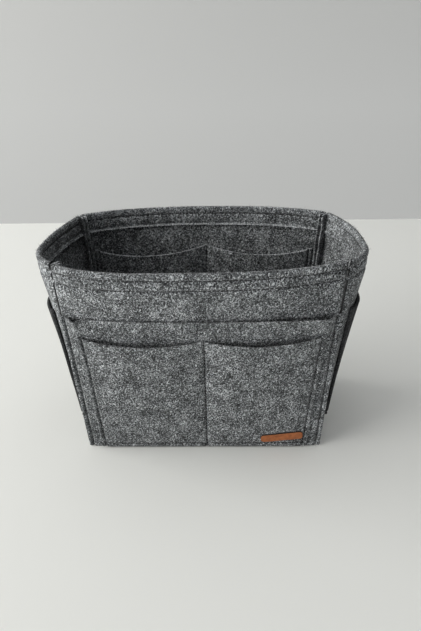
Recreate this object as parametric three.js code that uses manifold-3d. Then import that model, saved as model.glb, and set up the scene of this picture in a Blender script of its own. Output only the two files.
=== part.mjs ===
// A purse organizer insert of thick grey felt. Four walls with folded hems are sewn at the corners and
// stand round a turned-up base, with felt pockets stitched on outside and inside and a leather label.
// Millimetres, +Z up, the origin under the middle of the base, the front facing -Y.
import * as THREE from 'three';
import { mergeVertices } from 'three/addons/utils/BufferGeometryUtils.js';
import Module from 'manifold-3d';

// The body, outside, from corner seam to corner seam
const HEIGHT = 200;
const BASE_WIDTH = 228;
const BASE_DEPTH = 115;
const RIM_WIDTH = 248;
const RIM_DEPTH = 115;
const LONG_BELLY = 20; // how far the front and back stand out between their seams at the hem
const END_BELLY = 22;
const LONG_STEEPNESS = 2.6; // a wall bellies out with this power of its height, up to its upright hem
const END_STEEPNESS = 1.4;
const BELLY_FULLNESS = 2.5; // and falls away to its seams with this one

// Materials and fits
const FELT = 2;
const THREAD = 0.8;
const LABEL_THICKNESS = 1.6;
const CLEARANCE = 0.4; // between two sewn layers

// Hems, seams and stitch rows
const HEM_DEPTH = 18.5;
const HEM_UPPER_ROW = 7; // below the rim
const HEM_LOWER_ROW = 16.5;
const HEM_ROW_END = 4; // from the corner seam
const SEAM_ALLOWANCE = 9;
const BASE_FLANGE = 12;
const BASE_ROW = 6; // above the floor
const STITCH_INSET = 3.5; // from a pocket's cut edge
const LARGE_POCKET_INSET = 6.5;

// Pockets
const POCKET_LIFT = 1.5; // outer pockets end this far above the floor
const LARGE_POCKET_DROP = 49; // top edges below the rim
const TWIN_POCKET_DROP = 19; // below the large pocket's top edge
const TWIN_POCKET_MARGIN = 14.5; // from the corner seam
const TWIN_POCKET_SCOOP = 4;
const END_POCKET_DROP = 49;
const END_POCKET_RISE = 30;
const END_POCKET_MARGIN = 8;
const INNER_POCKET_DROP = 20.5; // below the hem's cut edge
const INNER_POCKET_SCOOP = 12;
const INNER_POCKET_EASE = 0.7; // from the seam allowances
const POCKET_BELLY = 2.5; // at the middle of a pocket's mouth
const MIDDLE_SHIFT = 3; // the seams between twin pockets lie this far right of the middle

// Label
const LABEL_LENGTH = 41;
const LABEL_WIDTH = 9;
const LABEL_CORNER = 2.5;
const LABEL_MARGIN = 0.5; // from the right-hand pocket's side row of stitching
const LABEL_RISE = 4; // its lowest corner above the bottom row
const LABEL_TILT = THREE.MathUtils.degToRad(6);

// Facets
const LONG_STEPS = 20;
const END_STEPS = 18;
const WALL_ROWS = 12;
const FOLD_ROWS = 4;
const HEM_ROWS = 1;
const POCKET_STEPS = 12;
const POCKET_ROWS = 10;
const CURVE_STEPS = 5;

const lerp = THREE.MathUtils.lerp;
const wasm = await Module();
wasm.setup();

const felt = new THREE.MeshStandardMaterial({ color: '#4b4c4e', roughness: 0.95, metalness: 0, flatShading: true });
const blackFelt = new THREE.MeshStandardMaterial({ color: '#1e1f20', roughness: 0.95, metalness: 0, flatShading: true });
const thread = new THREE.MeshStandardMaterial({ color: '#2b2c2e', roughness: 0.8, metalness: 0, flatShading: true });
const leather = new THREE.MeshStandardMaterial({ color: '#b0622f', roughness: 0.6, metalness: 0, flatShading: true });

// Only positions are kept, with shared corners joined, so that a blank is one closed skin.
function closedSkin(geometry) {
  geometry.deleteAttribute('normal');
  geometry.deleteAttribute('uv');
  return mergeVertices(geometry);
}

// A flat blank that is bent into place: place() takes shares from 0 to 1 across it, through it and up it.
function bentBlank(across, up, place) {
  const geometry = new THREE.BoxGeometry(1, 1, 1, across, 1, up);
  const points = geometry.getAttribute('position');
  for (let i = 0; i < points.count; i += 1) {
    const at = place(points.getX(i) + 0.5, points.getY(i) + 0.5, points.getZ(i) + 0.5);
    points.setXYZ(i, at.x, at.y, at.z);
  }
  return closedSkin(geometry);
}

function solid(geometry) {
  const vertProperties = Float32Array.from(geometry.getAttribute('position').array);
  const triVerts = Uint32Array.from(geometry.getIndex().array);
  return new wasm.Manifold(new wasm.Mesh({ numProp: 3, vertProperties, triVerts }));
}

function geometryOf(body) {
  const { vertProperties, triVerts } = body.getMesh();
  const geometry = new THREE.BufferGeometry();
  geometry.setAttribute('position', new THREE.BufferAttribute(vertProperties, 3));
  geometry.setIndex(new THREE.BufferAttribute(triVerts, 1));
  return geometry;
}

function joined(geometries) {
  return geometryOf(geometries.map(solid).reduce((whole, next) => whole.add(next)));
}

// Each side of the body is shaped facing -Y and then turned to its place: its half width and how far its
// seams stand from the middle, at the floor and at the rim, and how far it bellies out.
const longSide = {
  half: [BASE_WIDTH / 2, RIM_WIDTH / 2],
  reach: [BASE_DEPTH / 2, RIM_DEPTH / 2],
  belly: LONG_BELLY,
  steepness: LONG_STEEPNESS,
  steps: LONG_STEPS,
};
const endSide = {
  half: [BASE_DEPTH / 2, RIM_DEPTH / 2],
  reach: [BASE_WIDTH / 2, RIM_WIDTH / 2],
  belly: END_BELLY,
  steepness: END_STEEPNESS,
  steps: END_STEPS,
};

function halfAt(side, z) {
  return lerp(side.half[0], side.half[1], z / HEIGHT);
}

function reachAt(side, z) {
  return lerp(side.reach[0], side.reach[1], z / HEIGHT);
}

// The point of a side at x across it and z up it, at a depth inwards from its outer face.
function onSide(side, x, z, depth) {
  const swell = side.belly * Math.min(1, z / (HEIGHT - HEM_DEPTH)) ** side.steepness;
  const share = Math.min(1, Math.abs(x) / (halfAt(side, z) - depth));
  const y = depth - reachAt(side, z) - swell * (1 - share ** BELLY_FULLNESS);
  return new THREE.Vector3(x, y, z);
}

// A wall's felt runs up to the rim, folds over inwards and hangs down inside as the hem.
const FOLD_RADIUS = FELT + CLEARANCE / 2;
const FOLD_FOOT = HEIGHT - FOLD_RADIUS;
const HEM_END_CUT = FELT * Math.SQRT2 + CLEARANCE; // keeps the hem's ends off the seam allowances

function wallStation(row, through) {
  const radius = FOLD_RADIUS - through * FELT;
  if (row <= WALL_ROWS) {
    return { z: (FOLD_FOOT * row) / WALL_ROWS, depth: through * FELT, cut: 0 };
  }
  if (row <= WALL_ROWS + FOLD_ROWS) {
    const turn = (Math.PI * (row - WALL_ROWS)) / FOLD_ROWS;
    const cut = (HEM_END_CUT * (1 - Math.cos(turn))) / 2;
    return { z: FOLD_FOOT + radius * Math.sin(turn), depth: FOLD_RADIUS - radius * Math.cos(turn), cut };
  }
  const down = (row - WALL_ROWS - FOLD_ROWS) / HEM_ROWS;
  return { z: FOLD_FOOT - down * (HEM_DEPTH - FOLD_RADIUS), depth: FOLD_RADIUS + radius, cut: HEM_END_CUT };
}

// The seam allowance at one end of a wall stands into the corner, against its neighbour's.
const ALLOWANCE_ROOT = 1.2 * FELT; // inside the wall's own thickness
const ALLOWANCE_TIP = FELT * Math.SQRT2 + SEAM_ALLOWANCE;
const ALLOWANCE_REACH = (ALLOWANCE_TIP + FELT + CLEARANCE / 2) / Math.SQRT2; // across the wall
const ALLOWANCE_FOOT = BASE_FLANGE + CLEARANCE;
const ALLOWANCE_TOP = FOLD_FOOT - CLEARANCE;

function seamAllowance(side, end) {
  return bentBlank(1, 1, (along, through, up) => {
    const z = lerp(ALLOWANCE_FOOT, ALLOWANCE_TOP, up);
    const inwards = lerp(ALLOWANCE_ROOT, ALLOWANCE_TIP, along);
    const aside = CLEARANCE / 2 + FELT * (end > 0 ? through : 1 - through);
    const x = halfAt(side, z) - (inwards + aside) / Math.SQRT2;
    return new THREE.Vector3(end * x, (inwards - aside) / Math.SQRT2 - reachAt(side, z), z);
  });
}

function wall(side) {
  const rows = WALL_ROWS + FOLD_ROWS + HEM_ROWS;
  const panel = bentBlank(side.steps, rows, (across, through, up) => {
    const { z, depth, cut } = wallStation(Math.round(up * rows), through);
    const half = halfAt(side, z) - depth - CLEARANCE - cut;
    return onSide(side, lerp(-half, half, across), z, depth);
  });
  return joined([panel, seamAllowance(side, -1), seamAllowance(side, 1)]);
}

// The base panel's edges are turned up inside the walls, where the bottom row of stitching holds them.
function base() {
  const width = BASE_WIDTH - 2 * (FELT + CLEARANCE);
  const depth = BASE_DEPTH - 2 * (FELT + CLEARANCE);
  const block = new THREE.BoxGeometry(width, depth, BASE_FLANGE).translate(0, 0, BASE_FLANGE / 2);
  const hollow = new THREE.BoxGeometry(width - 2 * FELT, depth - 2 * FELT, BASE_FLANGE);
  hollow.translate(0, 0, BASE_FLANGE / 2 + FELT);
  const tray = geometryOf(solid(closedSkin(block)).subtract(solid(closedSkin(hollow))));
  const points = tray.getAttribute('position');
  for (let i = 0; i < points.count; i += 1) {
    const lean = halfAt(longSide, points.getZ(i)) - halfAt(longSide, 0);
    const draw = reachAt(longSide, points.getZ(i)) - reachAt(longSide, 0);
    points.setX(i, points.getX(i) + Math.sign(points.getX(i)) * lean);
    points.setY(i, points.getY(i) + Math.sign(points.getY(i)) * draw);
  }
  return tray;
}

// A pocket's felt on a side: its cut edges, how its mouth is scooped, which way it bellies, its depth, and
// how far its rows of stitching lie from its cut edges.
function mouthAt(pocket, share) {
  return pocket.top - pocket.scoop * 4 * share * (1 - share);
}

function pocketDepth(pocket, x, z) {
  const share = (x - pocket.left(z)) / (pocket.right(z) - pocket.left(z));
  const height = (z - pocket.low) / (mouthAt(pocket, share) - pocket.low);
  return pocket.depth + pocket.belly * 4 * share * (1 - share) * height;
}

function pocketPanel(pocket) {
  return bentBlank(pocket.steps, POCKET_ROWS, (across, through, up) => {
    const z = lerp(pocket.low, mouthAt(pocket, across), up);
    const x = lerp(pocket.left(z), pocket.right(z), across);
    return onSide(pocket.side, x, z, pocketDepth(pocket, x, z) + through * FELT);
  });
}

// A row of stitching is a fine bar of thread laid on a face: depth() is that face at x and z, and
// outwards says whether the thread lies outside it or inside it.
function threadDepth(face, outwards, through) {
  const start = outwards ? face - CLEARANCE - THREAD : face + CLEARANCE;
  return start + through * THREAD;
}

function uprightRow(side, xAt, low, top, depth, outwards) {
  return bentBlank(1, POCKET_ROWS, (across, through, up) => {
    const z = lerp(low, top, up);
    const x = xAt(z) + (across - 0.5) * THREAD;
    return onSide(side, x, z, threadDepth(depth(xAt(z), z), outwards, through));
  });
}

function levelRow(side, left, right, z, depth, outwards) {
  return bentBlank(side.steps, 1, (across, through, up) => {
    const x = lerp(left, right, across);
    return onSide(side, x, z + (up - 0.5) * THREAD, threadDepth(depth(x, z), outwards, through));
  });
}

const wallFace = () => 0;

function hemRow(side, drop) {
  const z = HEIGHT - drop;
  const half = halfAt(side, z) - HEM_ROW_END;
  return levelRow(side, -half, half, z, wallFace, true);
}

function baseRow(side) {
  const half = halfAt(side, BASE_ROW) - HEM_ROW_END;
  return levelRow(side, -half, half, BASE_ROW, wallFace, true);
}

// The pockets. Outer ones lie one or two layers outside the wall, and inner ones one layer inside it.
const LAYER = FELT + CLEARANCE;
const SPLIT = THREAD / 2 + CLEARANCE; // half the gap between twin pockets, where their shared row lies
const LARGE_TOP = HEIGHT - LARGE_POCKET_DROP;
const INNER_SIDE = ALLOWANCE_REACH + INNER_POCKET_EASE;

const largePocket = {
  side: longSide,
  left: (z) => -halfAt(longSide, z),
  right: (z) => halfAt(longSide, z),
  low: POCKET_LIFT,
  top: LARGE_TOP,
  scoop: 0,
  belly: 0,
  depth: -LAYER,
  inset: LARGE_POCKET_INSET,
  steps: LONG_STEPS,
};
const twinLeft = {
  side: longSide,
  left: (z) => TWIN_POCKET_MARGIN - halfAt(longSide, z),
  right: () => MIDDLE_SHIFT - SPLIT,
  low: POCKET_LIFT,
  top: LARGE_TOP - TWIN_POCKET_DROP,
  scoop: TWIN_POCKET_SCOOP,
  belly: -POCKET_BELLY,
  depth: -2 * LAYER,
  inset: STITCH_INSET,
  steps: POCKET_STEPS,
};
const twinRight = {
  ...twinLeft,
  left: () => MIDDLE_SHIFT + SPLIT,
  right: (z) => halfAt(longSide, z) - TWIN_POCKET_MARGIN,
};
const endPocket = {
  side: endSide,
  left: (z) => END_POCKET_MARGIN - halfAt(endSide, z),
  right: (z) => halfAt(endSide, z) - END_POCKET_MARGIN,
  low: END_POCKET_RISE,
  top: HEIGHT - END_POCKET_DROP,
  scoop: 0,
  belly: -POCKET_BELLY,
  depth: -LAYER,
  steps: POCKET_STEPS,
};
const innerEast = {
  side: longSide,
  left: (z) => INNER_SIDE - halfAt(longSide, z),
  right: () => -MIDDLE_SHIFT - SPLIT,
  low: BASE_FLANGE + CLEARANCE,
  top: HEIGHT - HEM_DEPTH - INNER_POCKET_DROP,
  scoop: INNER_POCKET_SCOOP,
  belly: POCKET_BELLY,
  depth: LAYER,
  inset: STITCH_INSET,
  steps: POCKET_STEPS,
};
const innerWest = {
  ...innerEast,
  left: () => SPLIT - MIDDLE_SHIFT,
  right: (z) => halfAt(longSide, z) - INNER_SIDE,
};

const outerFace = (pocket) => (x, z) => pocketDepth(pocket, x, z);
const innerFace = (pocket) => (x, z) => pocketDepth(pocket, x, z) + FELT;

// A row beside one upright edge of a pocket: end is -1 for its left edge and 1 for its right edge.
function edgeRow(pocket, end, face, outwards) {
  const edge = end < 0 ? pocket.left : pocket.right;
  const xAt = (z) => edge(z) - end * pocket.inset;
  const share = pocket.inset / (pocket.right(pocket.top) - pocket.left(pocket.top));
  const top = mouthAt(pocket, share) - CLEARANCE;
  return uprightRow(pocket.side, xAt, pocket.low + THREAD, top, face(pocket), outwards);
}

// The row that twin pockets share lies in their split, on the felt behind them.
function splitRow(pocket, face, outwards) {
  const xAt = (z) => pocket.right(z) + SPLIT;
  return uprightRow(pocket.side, xAt, pocket.low + THREAD, pocket.top, () => face, outwards);
}

function endPocketRows() {
  const z = endPocket.low + STITCH_INSET;
  const left = endPocket.left(z) + STITCH_INSET;
  const bottom = levelRow(endSide, left, -left, z, outerFace(endPocket), true);
  const upright = (end) => {
    const xAt = (height) => end * (endPocket.right(height) - STITCH_INSET);
    return uprightRow(endSide, xAt, z - THREAD / 2, endPocket.top - CLEARANCE, outerFace(endPocket), true);
  };
  return joined([bottom, upright(-1), upright(1)]);
}

function twinBottomRow(pocket) {
  const left = pocket.left(BASE_ROW) + STITCH_INSET + THREAD;
  const right = pocket.right(BASE_ROW) - STITCH_INSET - THREAD;
  return levelRow(longSide, left, right, BASE_ROW, outerFace(pocket), true);
}

// The label lies askew, low on the right. These are half the width and height that it takes there.
const LABEL_HALF_SPAN = (LABEL_LENGTH * Math.cos(LABEL_TILT) + LABEL_WIDTH * Math.sin(LABEL_TILT)) / 2;
const LABEL_HALF_RISE = (LABEL_LENGTH * Math.sin(LABEL_TILT) + LABEL_WIDTH * Math.cos(LABEL_TILT)) / 2;
const labelMiddle = new THREE.Vector2(
  twinRight.right(BASE_ROW) - STITCH_INSET - LABEL_MARGIN - LABEL_HALF_SPAN,
  BASE_ROW + LABEL_RISE + LABEL_HALF_RISE,
);

function label() {
  const w = LABEL_LENGTH / 2;
  const h = LABEL_WIDTH / 2;
  const outline = new THREE.Shape();
  outline.moveTo(LABEL_CORNER - w, -h);
  outline.lineTo(w - LABEL_CORNER, -h);
  outline.absarc(w - LABEL_CORNER, LABEL_CORNER - h, LABEL_CORNER, -Math.PI / 2, 0, false);
  outline.absarc(w - LABEL_CORNER, h - LABEL_CORNER, LABEL_CORNER, 0, Math.PI / 2, false);
  outline.absarc(LABEL_CORNER - w, h - LABEL_CORNER, LABEL_CORNER, Math.PI / 2, Math.PI, false);
  outline.absarc(LABEL_CORNER - w, LABEL_CORNER - h, LABEL_CORNER, Math.PI, 1.5 * Math.PI, false);
  const settings = { depth: LABEL_THICKNESS, bevelEnabled: false, curveSegments: CURVE_STEPS };
  const geometry = new THREE.ExtrudeGeometry(outline, settings).rotateZ(LABEL_TILT);
  const points = geometry.getAttribute('position');
  for (let i = 0; i < points.count; i += 1) {
    const x = labelMiddle.x + points.getX(i);
    const z = labelMiddle.y + points.getY(i);
    const at = onSide(longSide, x, z, pocketDepth(twinRight, x, z) - CLEARANCE - points.getZ(i));
    points.setXYZ(i, at.x, at.y, at.z);
  }
  return closedSkin(geometry);
}

// Each side's pieces hang in one group, turned to face outwards.
const organizer = new THREE.Group();

function facing(turn) {
  const group = new THREE.Group();
  group.rotation.z = turn;
  organizer.add(group);
  return (name, geometry, material) => {
    geometry.computeVertexNormals();
    const mesh = new THREE.Mesh(geometry, material);
    mesh.name = name;
    group.add(mesh);
  };
}

const atFront = facing(0);
const atRight = facing(Math.PI / 2);
const atBack = facing(Math.PI);
const atLeft = facing(-Math.PI / 2);

for (const [put, name, side] of [
  [atFront, 'front', longSide],
  [atBack, 'back', longSide],
  [atLeft, 'left_end', endSide],
  [atRight, 'right_end', endSide],
]) {
  put(`${name}_wall`, wall(side), felt);
  put(`${name}_hem_upper_stitching`, hemRow(side, HEM_UPPER_ROW), thread);
  put(`${name}_hem_lower_stitching`, hemRow(side, HEM_LOWER_ROW), thread);
}

atFront('base_panel', base(), felt);
atBack('back_base_stitching', baseRow(longSide), thread);

for (const [put, name] of [[atLeft, 'left_end'], [atRight, 'right_end']]) {
  put(`${name}_base_stitching`, baseRow(endSide), thread);
  put(`${name}_pocket`, pocketPanel(endPocket), blackFelt);
  put(`${name}_pocket_stitching`, endPocketRows(), thread);
}

atFront('front_large_pocket', pocketPanel(largePocket), felt);
for (const [name, pocket, end] of [['front_left_pocket', twinLeft, -1], ['front_right_pocket', twinRight, 1]]) {
  const word = end < 0 ? 'left' : 'right';
  atFront(`front_large_pocket_${word}_stitching`, edgeRow(largePocket, end, outerFace, true), thread);
  atFront(name, pocketPanel(pocket), felt);
  atFront(`${name}_side_stitching`, edgeRow(pocket, end, outerFace, true), thread);
  atFront(`${name}_bottom_stitching`, twinBottomRow(pocket), thread);
}
atFront('front_middle_stitching', splitRow(twinLeft, largePocket.depth, true), thread);
atFront('leather_label', label(), leather);

for (const [name, pocket, end] of [['inner_right_pocket', innerEast, -1], ['inner_left_pocket', innerWest, 1]]) {
  atBack(name, pocketPanel(pocket), felt);
  atBack(`${name}_side_stitching`, edgeRow(pocket, end, innerFace, false), thread);
}
atBack('inner_middle_stitching', splitRow(innerEast, FELT, false), thread);

export default organizer;
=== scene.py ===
import math
import random
from collections import namedtuple

import bmesh
import bpy
from mathutils import Matrix, Vector, noise


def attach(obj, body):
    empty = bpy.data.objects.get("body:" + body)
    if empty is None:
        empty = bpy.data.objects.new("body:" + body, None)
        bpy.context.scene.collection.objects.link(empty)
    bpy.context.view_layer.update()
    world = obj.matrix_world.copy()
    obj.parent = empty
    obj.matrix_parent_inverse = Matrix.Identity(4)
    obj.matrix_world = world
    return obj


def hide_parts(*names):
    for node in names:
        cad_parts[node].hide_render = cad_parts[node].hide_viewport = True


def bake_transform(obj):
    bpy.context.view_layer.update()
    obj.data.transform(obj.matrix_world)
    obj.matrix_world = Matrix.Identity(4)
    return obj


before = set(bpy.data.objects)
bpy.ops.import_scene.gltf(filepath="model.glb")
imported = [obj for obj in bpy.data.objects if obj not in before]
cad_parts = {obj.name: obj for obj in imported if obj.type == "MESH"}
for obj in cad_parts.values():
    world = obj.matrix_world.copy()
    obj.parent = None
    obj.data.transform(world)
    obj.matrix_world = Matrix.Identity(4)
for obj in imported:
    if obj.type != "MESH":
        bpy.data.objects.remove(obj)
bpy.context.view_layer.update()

# The camera stands half a metre in front of the insert, well above its rim, and looks down at it,
# turned and tilted by a degree or so as a hand-held camera is.
CAMERA_PLACE = Vector((0.0206, -0.4742, 0.3924))
CAMERA_PITCH = math.radians(30.326)  # below the horizon
CAMERA_YAW = math.radians(-1.594)
CAMERA_ROLL = math.radians(-1.264)
PICTURE_HEIGHT = 631
FOCAL_LENGTH = 560  # in picture points, as the height is
SENSOR = 36

ahead = Vector((math.sin(CAMERA_YAW) * math.cos(CAMERA_PITCH),
                math.cos(CAMERA_YAW) * math.cos(CAMERA_PITCH),
                -math.sin(CAMERA_PITCH)))
level = Vector((math.cos(CAMERA_YAW), -math.sin(CAMERA_YAW), 0))
upright = level.cross(ahead)
picture_right = level * math.cos(CAMERA_ROLL) + upright * math.sin(CAMERA_ROLL)
picture_up = upright * math.cos(CAMERA_ROLL) - level * math.sin(CAMERA_ROLL)

camera_data = bpy.data.cameras.new("camera")
camera_data.sensor_width = SENSOR
camera_data.lens = FOCAL_LENGTH * SENSOR / PICTURE_HEIGHT
camera = bpy.data.objects.new("camera", camera_data)
bpy.context.scene.collection.objects.link(camera)
camera.matrix_world = (Matrix.Translation(CAMERA_PLACE)
                       @ Matrix((picture_right, picture_up, -ahead)).transposed().to_4x4())
bpy.context.scene.camera = camera

# The four walls: needled felt about 2 mm thick, cut from the sheet, bowed out between the corner
# seams. Each wall's top edge is folded inwards as a hem and sewn with two rows, and its seam
# allowances are turned inside at the corners, where they stand up as a pair of cut edges.
HEIGHT = 0.200
HALF_WIDTH = (0.114, 0.124)  # at the floor and at the rim
HALF_DEPTH = (0.0575, 0.0575)
FELT = 0.002
LAYER_GAP = 0.0004  # between two sewn layers
LAYER = FELT + LAYER_GAP
FOLD_RADIUS = FELT + LAYER_GAP / 2
FOLD_FOOT = HEIGHT - FOLD_RADIUS
FOLD_STEPS = 8
HEM_EDGE = HEIGHT - 0.0185
HEM_ROWS = (HEIGHT - 0.007, HEIGHT - 0.0165)
HEM_END_CUT = FELT * math.sqrt(2) + LAYER_GAP
HEM_CURL = 0.0022  # how far the hem's cut edge stands off the wall
HEM_CURL_HEIGHT = 0.0040
BASE_ROW = 0.006
BASE_ROW_DRAW = 0.5  # how deep the base's row is drawn in, as a share of a hem row's depth
RIM_SAG = 0.002  # how much lower the rim hangs along the front
SAG_START = 0.01  # how far behind the middle the rim starts to hang
SAG_RUN = 0.06
SAG_RISE = 6  # how steeply the sag grows up the wall
BROAD_UNEVENNESS = 0.0011
BROAD_WAVES = (15, 11)  # across and up, to the metre
CLOSE_UNEVENNESS = 0.0004
CLOSE_WAVES = (46, 40)
FLAT_EDGE = 6  # how suddenly the unevenness ends at the corner seams
FLAT_FOOT = 0.04  # the height over which it grows from nothing at the foot
SEAM_NOTCH = 0.0004  # how much a corner seam gapes at the rim
SEAM_NOTCH_DEPTH = 0.012
SEAM_GAP = 0.0004
SEAM_DIP = 0.0008  # how far the felt turns in at a corner seam
SEAM_DIP_WIDTH = 0.0010
SEAM_FOLD_ROWS = 3  # how many rows of the fold take the painted seam shade
ALLOWANCE = (0.0030, 0.0112)  # where a seam allowance starts and ends, inwards from the corner
ALLOWANCE_FOOT = 0.0124
ALLOWANCE_TOP = 0.1990
ALLOWANCE_SPLAY = 0.0009  # how far an allowance's cut edge leans from its pair
SPLAY_WAVES = (55, 3)
ALLOWANCE_RAGGED = 0.0012  # how unevenly an allowance is cut
RAGGED_WAVES = (90, 5)
ALLOWANCE_COLUMNS = 5
ALLOWANCE_STEP = 0.004
WALL_STEP = 0.003
FINE_STEP = 0.0006
MARK_REACH = 1.5  # how far round a mark the places are close, in coarse steps
LAST_STEP = 1.5  # the longest last step, in steps
CUT_ROUND = 0.0006
CUT_ANGLE = 0.9  # a sharper edge than this is a cut one
CREASE_DEPTH = 0.0013
CREASE_WIDTH = 0.0013
# The last rows of the hem's cut edge take the lighter cut-edge felt, a painted highlight.
HEM_HIGHLIGHT_ROWS = 2
FIBRE_DARK = (0.012, 0.0125, 0.013, 1)
HEATHER_FIBRES = (FIBRE_DARK, (0.122, 0.130, 0.134, 1), (0.69, 0.715, 0.73, 1))
BLACK_FELT_AND_SEAM_SHADE_FIBRES = ((0.006, 0.006, 0.0065, 1), (0.016, 0.017, 0.018, 1), (0.085, 0.088, 0.09, 1))
FELT_TONES = (0.57, 0.67, 0.79)
# The cut-edge felt's tones, set lower so it comes out lighter: paler fibre ends and painted
# highlight.
CUT_HIGHLIGHT_TONES = (0.50, 0.61, 0.76)
FIBRE_LAYS = ((0.3, -0.41, 0.51), (1.1, -0.49, 2.32), (2.0, -1.09, -1.35))
FIBRE_SIZE = (0.0026, 0.001, 0.001)
FIBRE_DRIFT = (0.004, 0.004, 0.004)
BLOTCH_SHARE = 0.14

# A wall is twice its half wide and stands at its reach from the middle, both given at the floor and
# at the rim. It bows out by its belly, most at its crest, and falls off from there to the left and
# right by its fullness.
Side = namedtuple("Side", "half reach belly crest steepness fullness turn seed")
FRONT = Side(half=HALF_WIDTH, reach=HALF_DEPTH, belly=0.0205, crest=0, steepness=2.6,
             fullness=(4.0, 2.4), turn=Matrix.Rotation(0, 3, "Z"), seed=0.0)
BACK = FRONT._replace(fullness=(2.5, 2.5), turn=Matrix.Rotation(math.pi, 3, "Z"), seed=7.3)
RIGHT = Side(half=HALF_DEPTH, reach=HALF_WIDTH, belly=0.0215, crest=-0.025, steepness=1.05,
             fullness=(2.2, 2.4), turn=Matrix.Rotation(math.pi / 2, 3, "Z"), seed=3.1)
LEFT = RIGHT._replace(belly=0.0185, crest=0.022, steepness=1.25, fullness=(1.6, 2.2),
                      turn=Matrix.Rotation(-math.pi / 2, 3, "Z"), seed=11.9)


def at_height(pair, z):
    """A size that runs evenly from its value at the floor to its value at the rim."""
    return pair[0] + (pair[1] - pair[0]) * z / HEIGHT


def ripple(across, up, waves, seed):
    """A smooth chance value from about -1 to 1, with so many waves to a metre across and up."""
    return noise.noise(Vector((across * waves[0], up * waves[1], seed)))


def settled(spot):
    """A point of the walls, let down by as much as the rim hangs there."""
    frontward = min(1.0, max(0.0, (SAG_START - spot.y) / SAG_RUN))
    spot.z -= RIM_SAG * frontward * (max(0.0, spot.z) / HEIGHT) ** SAG_RISE
    return spot


def on_side(side, x, z, depth):
    """The point x across a side and z up it, at a depth inwards from the outer face. Every layer
    on a side shares its slight unevenness, so the layers lie on each other."""
    half = at_height(side.half, z) - depth
    end, fullness = (-half, side.fullness[0]) if x < side.crest else (half, side.fullness[1])
    fall = min(1.0, (x - side.crest) / (end - side.crest))
    rise = min(1.0, max(0.0, z) / HEM_EDGE) ** side.steepness
    swell = side.belly * rise * (1 - fall ** fullness)
    uneven = (BROAD_UNEVENNESS * ripple(x, z, BROAD_WAVES, side.seed)
              + CLOSE_UNEVENNESS * ripple(x, z, CLOSE_WAVES, side.seed + 5))
    uneven *= (1 - min(1.0, abs(x) / half) ** FLAT_EDGE) * min(1.0, z / FLAT_FOOT)
    return settled(side.turn @ Vector((x, depth - at_height(side.reach, z) - swell - uneven, z)))


def graded(low, high, coarse, fine, marks):
    """Places from low to high, set close together near each mark."""
    places = [low]
    while True:
        near = any(abs(places[-1] + fine - mark) < MARK_REACH * coarse for mark in marks)
        step = fine if near else coarse
        if high - places[-1] < LAST_STEP * step:
            return places + [high]
        places.append(places[-1] + step)


def crease(distance, width=CREASE_WIDTH):
    """How far a row of stitching draws the felt in, at a distance from the row."""
    return CREASE_DEPTH * math.exp(-((distance / width) ** 2))


def flat_blank(mesh, columns, rows):
    """Adds a flat blank to a mesh, and notes the column and the row of each of its points."""
    column_of = mesh.verts.layers.int.get("column") or mesh.verts.layers.int.new("column")
    row_of = mesh.verts.layers.int.get("row") or mesh.verts.layers.int.new("row")
    verts = bmesh.ops.create_grid(mesh, x_segments=columns, y_segments=rows, size=0.5)["verts"]
    for vert in verts:
        vert[column_of] = round((vert.co.x + 0.5) * columns)
        vert[row_of] = round((vert.co.y + 0.5) * rows)
    return verts, column_of, row_of


def thicken(mesh, faces, outside, place, column_of, row_of):
    """Gives a flat blank its inside, and puts each point into place. place() takes a column, a row
    and a face, 0 outside and 1 inside."""
    grown = bmesh.ops.extrude_face_region(mesh, geom=faces)["geom"]
    inside = [part for part in grown if isinstance(part, bmesh.types.BMVert)]
    for face, verts in enumerate((outside, inside)):
        for vert in verts:
            vert.co = place(vert[column_of], vert[row_of], face)
    return inside


def bend_blank(mesh, columns, rows, place, square=(), highlight_sides=True, pale_top=True, highlight_rows=0,
               seam_shade_rows=0):
    """Adds a blank of felt to a mesh and bends it into place, as thicken() says. Cut edges are
    rounded, but for the columns named in square. They take the second material, the lighter
    cut-edge felt with its painted highlight: the side and top ones only if they are asked to, and
    so do the given number of last rows of both faces. The square edges take the third material,
    black felt as painted seam shade, in the given number of first rows, with the outside right
    beside them."""
    outside, column_of, row_of = flat_blank(mesh, columns, rows)
    faces = list({face for vert in outside for face in vert.link_faces})
    inside = thicken(mesh, faces, outside, place, column_of, row_of)
    skin = list({face for vert in outside + inside for face in vert.link_faces})
    bmesh.ops.recalc_face_normals(mesh, faces=skin)
    outer = set(outside)
    for face in skin:
        outer_corners = sum(vert in outer for vert in face.verts)
        edge_on = 0 < outer_corners < len(face.verts)
        lowest = min(vert[row_of] for vert in face.verts)
        across = {vert[column_of] for vert in face.verts}
        side_edge = len(across) == 1
        in_seam = outer_corners and across & set(square) and (side_edge or not edge_on)
        # Faces in a corner seam take the third material: black felt painted on as the seam's shade.
        if in_seam and lowest < seam_shade_rows:
            face.material_index = 2
        elif side_edge:
            face.material_index = int(highlight_sides)
        elif edge_on:
            face.material_index = int(pale_top or lowest < rows)
        else:
            face.material_index = int(lowest >= rows - highlight_rows)
    cut = []
    for edge in {edge for face in skin for edge in face.edges}:
        if edge.calc_face_angle(0) < CUT_ANGLE:
            continue
        ends = {vert[column_of] for vert in edge.verts}
        if len(ends) == 1 and ends <= set(square):
            edge.smooth = False
        else:
            cut.append(edge)
    bmesh.ops.bevel(mesh, geom=cut, offset=CUT_ROUND, segments=2, profile=0.5, affect="EDGES",
                    material=-1)


def add_node(tree, kind, inputs=(), **settings):
    """Adds a shader node with its settings, and gives each input a value or another's output."""
    node = tree.nodes.new("ShaderNode" + kind)
    for name, value in settings.items():
        setattr(node, name, value)
    for name, value in dict(inputs).items():
        if isinstance(value, bpy.types.NodeSocket):
            tree.links.new(value, node.inputs[name])
        else:
            node.inputs[name].default_value = value
    return node


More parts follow.
